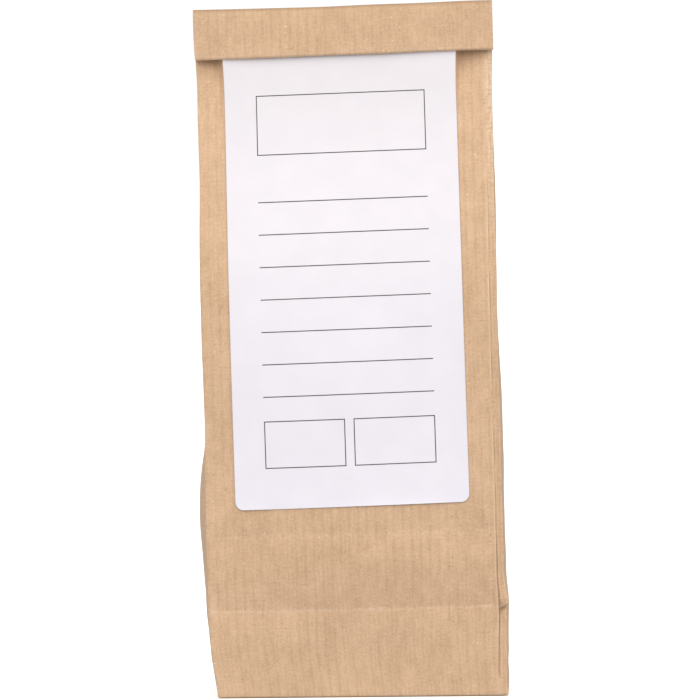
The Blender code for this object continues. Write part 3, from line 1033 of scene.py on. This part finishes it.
def chips(rng):
    """The points of every chip, with its own coordinates, its tone and where it has bark.

    Its section is |x/a|^p + |y/b|^p = 1, cut off flat on one side where the root was
    split. Four rings make its length, the end ones smaller, on a slant and a slight bend.
    """
    centres = chip_centres(rng)
    count = len(centres)
    along_way, side_way, up_way = (way[:, None, None, :] for way in turned(rng, count))
    angle = np.arange(CHIP_SIDES) * math.tau / CHIP_SIDES + 0.2
    ring = np.array([-1.0, -0.8, 0.8, 1.0])[None, :, None]
    taper = np.array([0.78, 1.0, 1.0, 0.78])[None, :, None]

    def each(low, high):
        return rng.uniform(low, high, count)[:, None, None]

    power = each(2.0, 5.0)
    cos, sin = np.cos(angle)[None, None, :], np.sin(angle)[None, None, :]
    radius = (np.abs(cos) ** power + np.abs(sin) ** power) ** (-1 / power)
    wide, thick, long = each(0.0013, 0.0026), each(0.0011, 0.0020), each(0.0018, 0.0040)
    x = wide * radius * cos * taper
    y = np.maximum(thick * radius * sin, -thick * each(0.2, 1.0)) * taper
    along = long * ring + x * each(-0.5, 0.5)
    rough = rng.normal(0, 0.00008, (count, CHIP_RINGS, CHIP_SIDES))
    bent = y + rough + each(-25, 25) * along**2 * 0.5
    own = np.stack([x, y, along + 0 * y], axis=-1) + rng.uniform(0, 1, (count, 1, 1, 3))
    points = centres[:, None, None, :] + along[..., None] * along_way
    points = points + x[..., None] * side_way + bent[..., None] * up_way
    tone = rng.uniform(0, 1, (count, 1, 1)) + 0 * y
    bark = smooth((y / thick - 0.35) / 0.3) * (each(0, 1) < 0.7)
    return points, own, tone, bark


def root_finish():
    """Dried root: long fibres, paler or deeper from piece to piece, with brown bark."""
    root = Finish("cut_root", Roughness=0.85)
    own_place = root.attribute("own_place").outputs["Vector"]
    stretch = root.add("Mapping", Vector=own_place, Scale=(3000, 3000, 350))
    fibre = root.add("TexNoise", Vector=stretch.outputs[0], Scale=1, Detail=3).outputs["Fac"]
    share = root.math("MULTIPLY_ADD", root.attribute("tone").outputs["Fac"], 0.5, fibre)
    wood = root.mix(share, ROOT_DEEP, ROOT_PALE)
    base = root.mix(root.attribute("bark").outputs["Fac"], wood, ROOT_BARK)
    bump = root.add("Bump", Distance=0.00008, Height=fibre)
    root.shade(Base_Color=base, Normal=bump.outputs[0])
    return root.material


chip_points, own_place, chip_tone, chip_bark = chips(np.random.default_rng(31))
widest, deepest = cavity(chip_points[..., 1], chip_points[..., 2])
chip_x = np.clip(chip_points[..., 0], -widest, widest)
chip_y = np.clip(chip_points[..., 1], -deepest, deepest)
chip_z = np.clip(chip_points[..., 2], FILL_FLOOR, None)
chip_points = np.stack(lean(chip_x, chip_y, chip_z), axis=-1).reshape(-1, 3)
index = np.arange(len(chip_points)).reshape(-1, CHIP_RINGS, CHIP_SIDES)
onward = np.roll(index, -1, axis=2)
sides = np.stack([index[:, :-1], onward[:, :-1], onward[:, 1:], index[:, 1:]], axis=-1)
ends = np.concatenate([index[:, 0, ::-1], index[:, -1]])
chip_mesh = bpy.data.meshes.new("cut_root_chips")
chip_mesh.from_pydata(chip_points, [], sides.reshape(-1, 4).tolist() + ends.tolist())
own_layer = chip_mesh.attributes.new("own_place", "FLOAT_VECTOR", "POINT")
own_layer.data.foreach_set("vector", own_place.astype(np.float32).ravel())
point_values(chip_mesh, "tone", chip_tone)
point_values(chip_mesh, "bark", chip_bark)
cut_root = put_in(chip_mesh, root_finish())
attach(cut_root, "root")
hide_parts("cut_licorice_root")


# The floor: one very large pale sheet, so that nothing shows behind the bag from any side.

FLOOR_REACH = 15.0
FLOOR_PALE = (0.90, 0.90, 0.90)
FLOOR_GLOW = 0.35

pale = Finish("pale_floor", Base_Color=FLOOR_PALE, Roughness=0.9)
pale.shade(Emission_Color=(1, 1, 1), Emission_Strength=FLOOR_GLOW)
floor_x, floor_y = np.meshgrid([-FLOOR_REACH, FLOOR_REACH], [-FLOOR_REACH, FLOOR_REACH])
floor_points = np.stack([floor_x, floor_y, 0 * floor_x], axis=-1)
floor = put_in(grid_mesh("floor", floor_points), pale.material)
floor.visible_diffuse = False


# Light: an even white room, and one warm soft light above and in front. The room looks
# white to the camera and lights the bag with less.

ROOM_SEEN = 1.03
ROOM_LIGHT = 0.655
SUN_FROM = Vector((0.0, -0.70, 0.71))
SUN_STRENGTH = 2.44
SUN_SPREAD = math.radians(75)
SUN_COLOUR = (1.0, 0.965, 0.915)

world = bpy.data.worlds.new("white_room")
world.use_nodes = True
room = world.node_tree.nodes["Background"]
room.inputs["Color"].default_value = (1, 1, 1, 1)
ray = world.node_tree.nodes.new("ShaderNodeLightPath")
strength = world.node_tree.nodes.new("ShaderNodeMapRange")
strength.inputs["To Min"].default_value = ROOM_LIGHT
strength.inputs["To Max"].default_value = ROOM_SEEN
world.node_tree.links.new(ray.outputs["Is Camera Ray"], strength.inputs["Value"])
world.node_tree.links.new(strength.outputs[0], room.inputs["Strength"])
bpy.context.scene.world = world
bpy.context.scene.view_settings.view_transform = "Standard"

sun = bpy.data.lights.new("soft_sun", "SUN")
sun.energy = SUN_STRENGTH
sun.angle = SUN_SPREAD
sun.color = SUN_COLOUR
sun_holder = bpy.data.objects.new("soft_sun", sun)
bpy.context.scene.collection.objects.link(sun_holder)
sun_holder.rotation_euler = SUN_FROM.to_track_quat("Z", "Y").to_euler()


# The camera: level with the bag and far off, turned a little on its own axis.

CAMERA_DISTANCE = 2.5
CAMERA_AZIMUTH = math.radians(1.0)
CAMERA_ELEVATION = math.radians(1.5)
CAMERA_ROLL = math.radians(-0.6)
LOOK_AT = Vector((-0.0026, 0, 0.0803))
PIXELS_PER_METRE = 4270
FRAME_PIXELS = 700

lens = bpy.data.cameras.new("camera")
lens.sensor_width = 36
lens.lens = PIXELS_PER_METRE * CAMERA_DISTANCE / FRAME_PIXELS * lens.sensor_width
lens.clip_end = 20
camera = bpy.data.objects.new("camera", lens)
bpy.context.scene.collection.objects.link(camera)
away = Vector(
    (
        math.sin(CAMERA_AZIMUTH) * math.cos(CAMERA_ELEVATION),
        -math.cos(CAMERA_AZIMUTH) * math.cos(CAMERA_ELEVATION),
        math.sin(CAMERA_ELEVATION),
    )
)
camera.location = LOOK_AT + away * CAMERA_DISTANCE
facing = (-away).to_track_quat("-Z", "Y").to_matrix()
camera.rotation_euler = (facing @ Matrix.Rotation(CAMERA_ROLL, 3, "Z")).to_euler()
bpy.context.scene.camera = camera
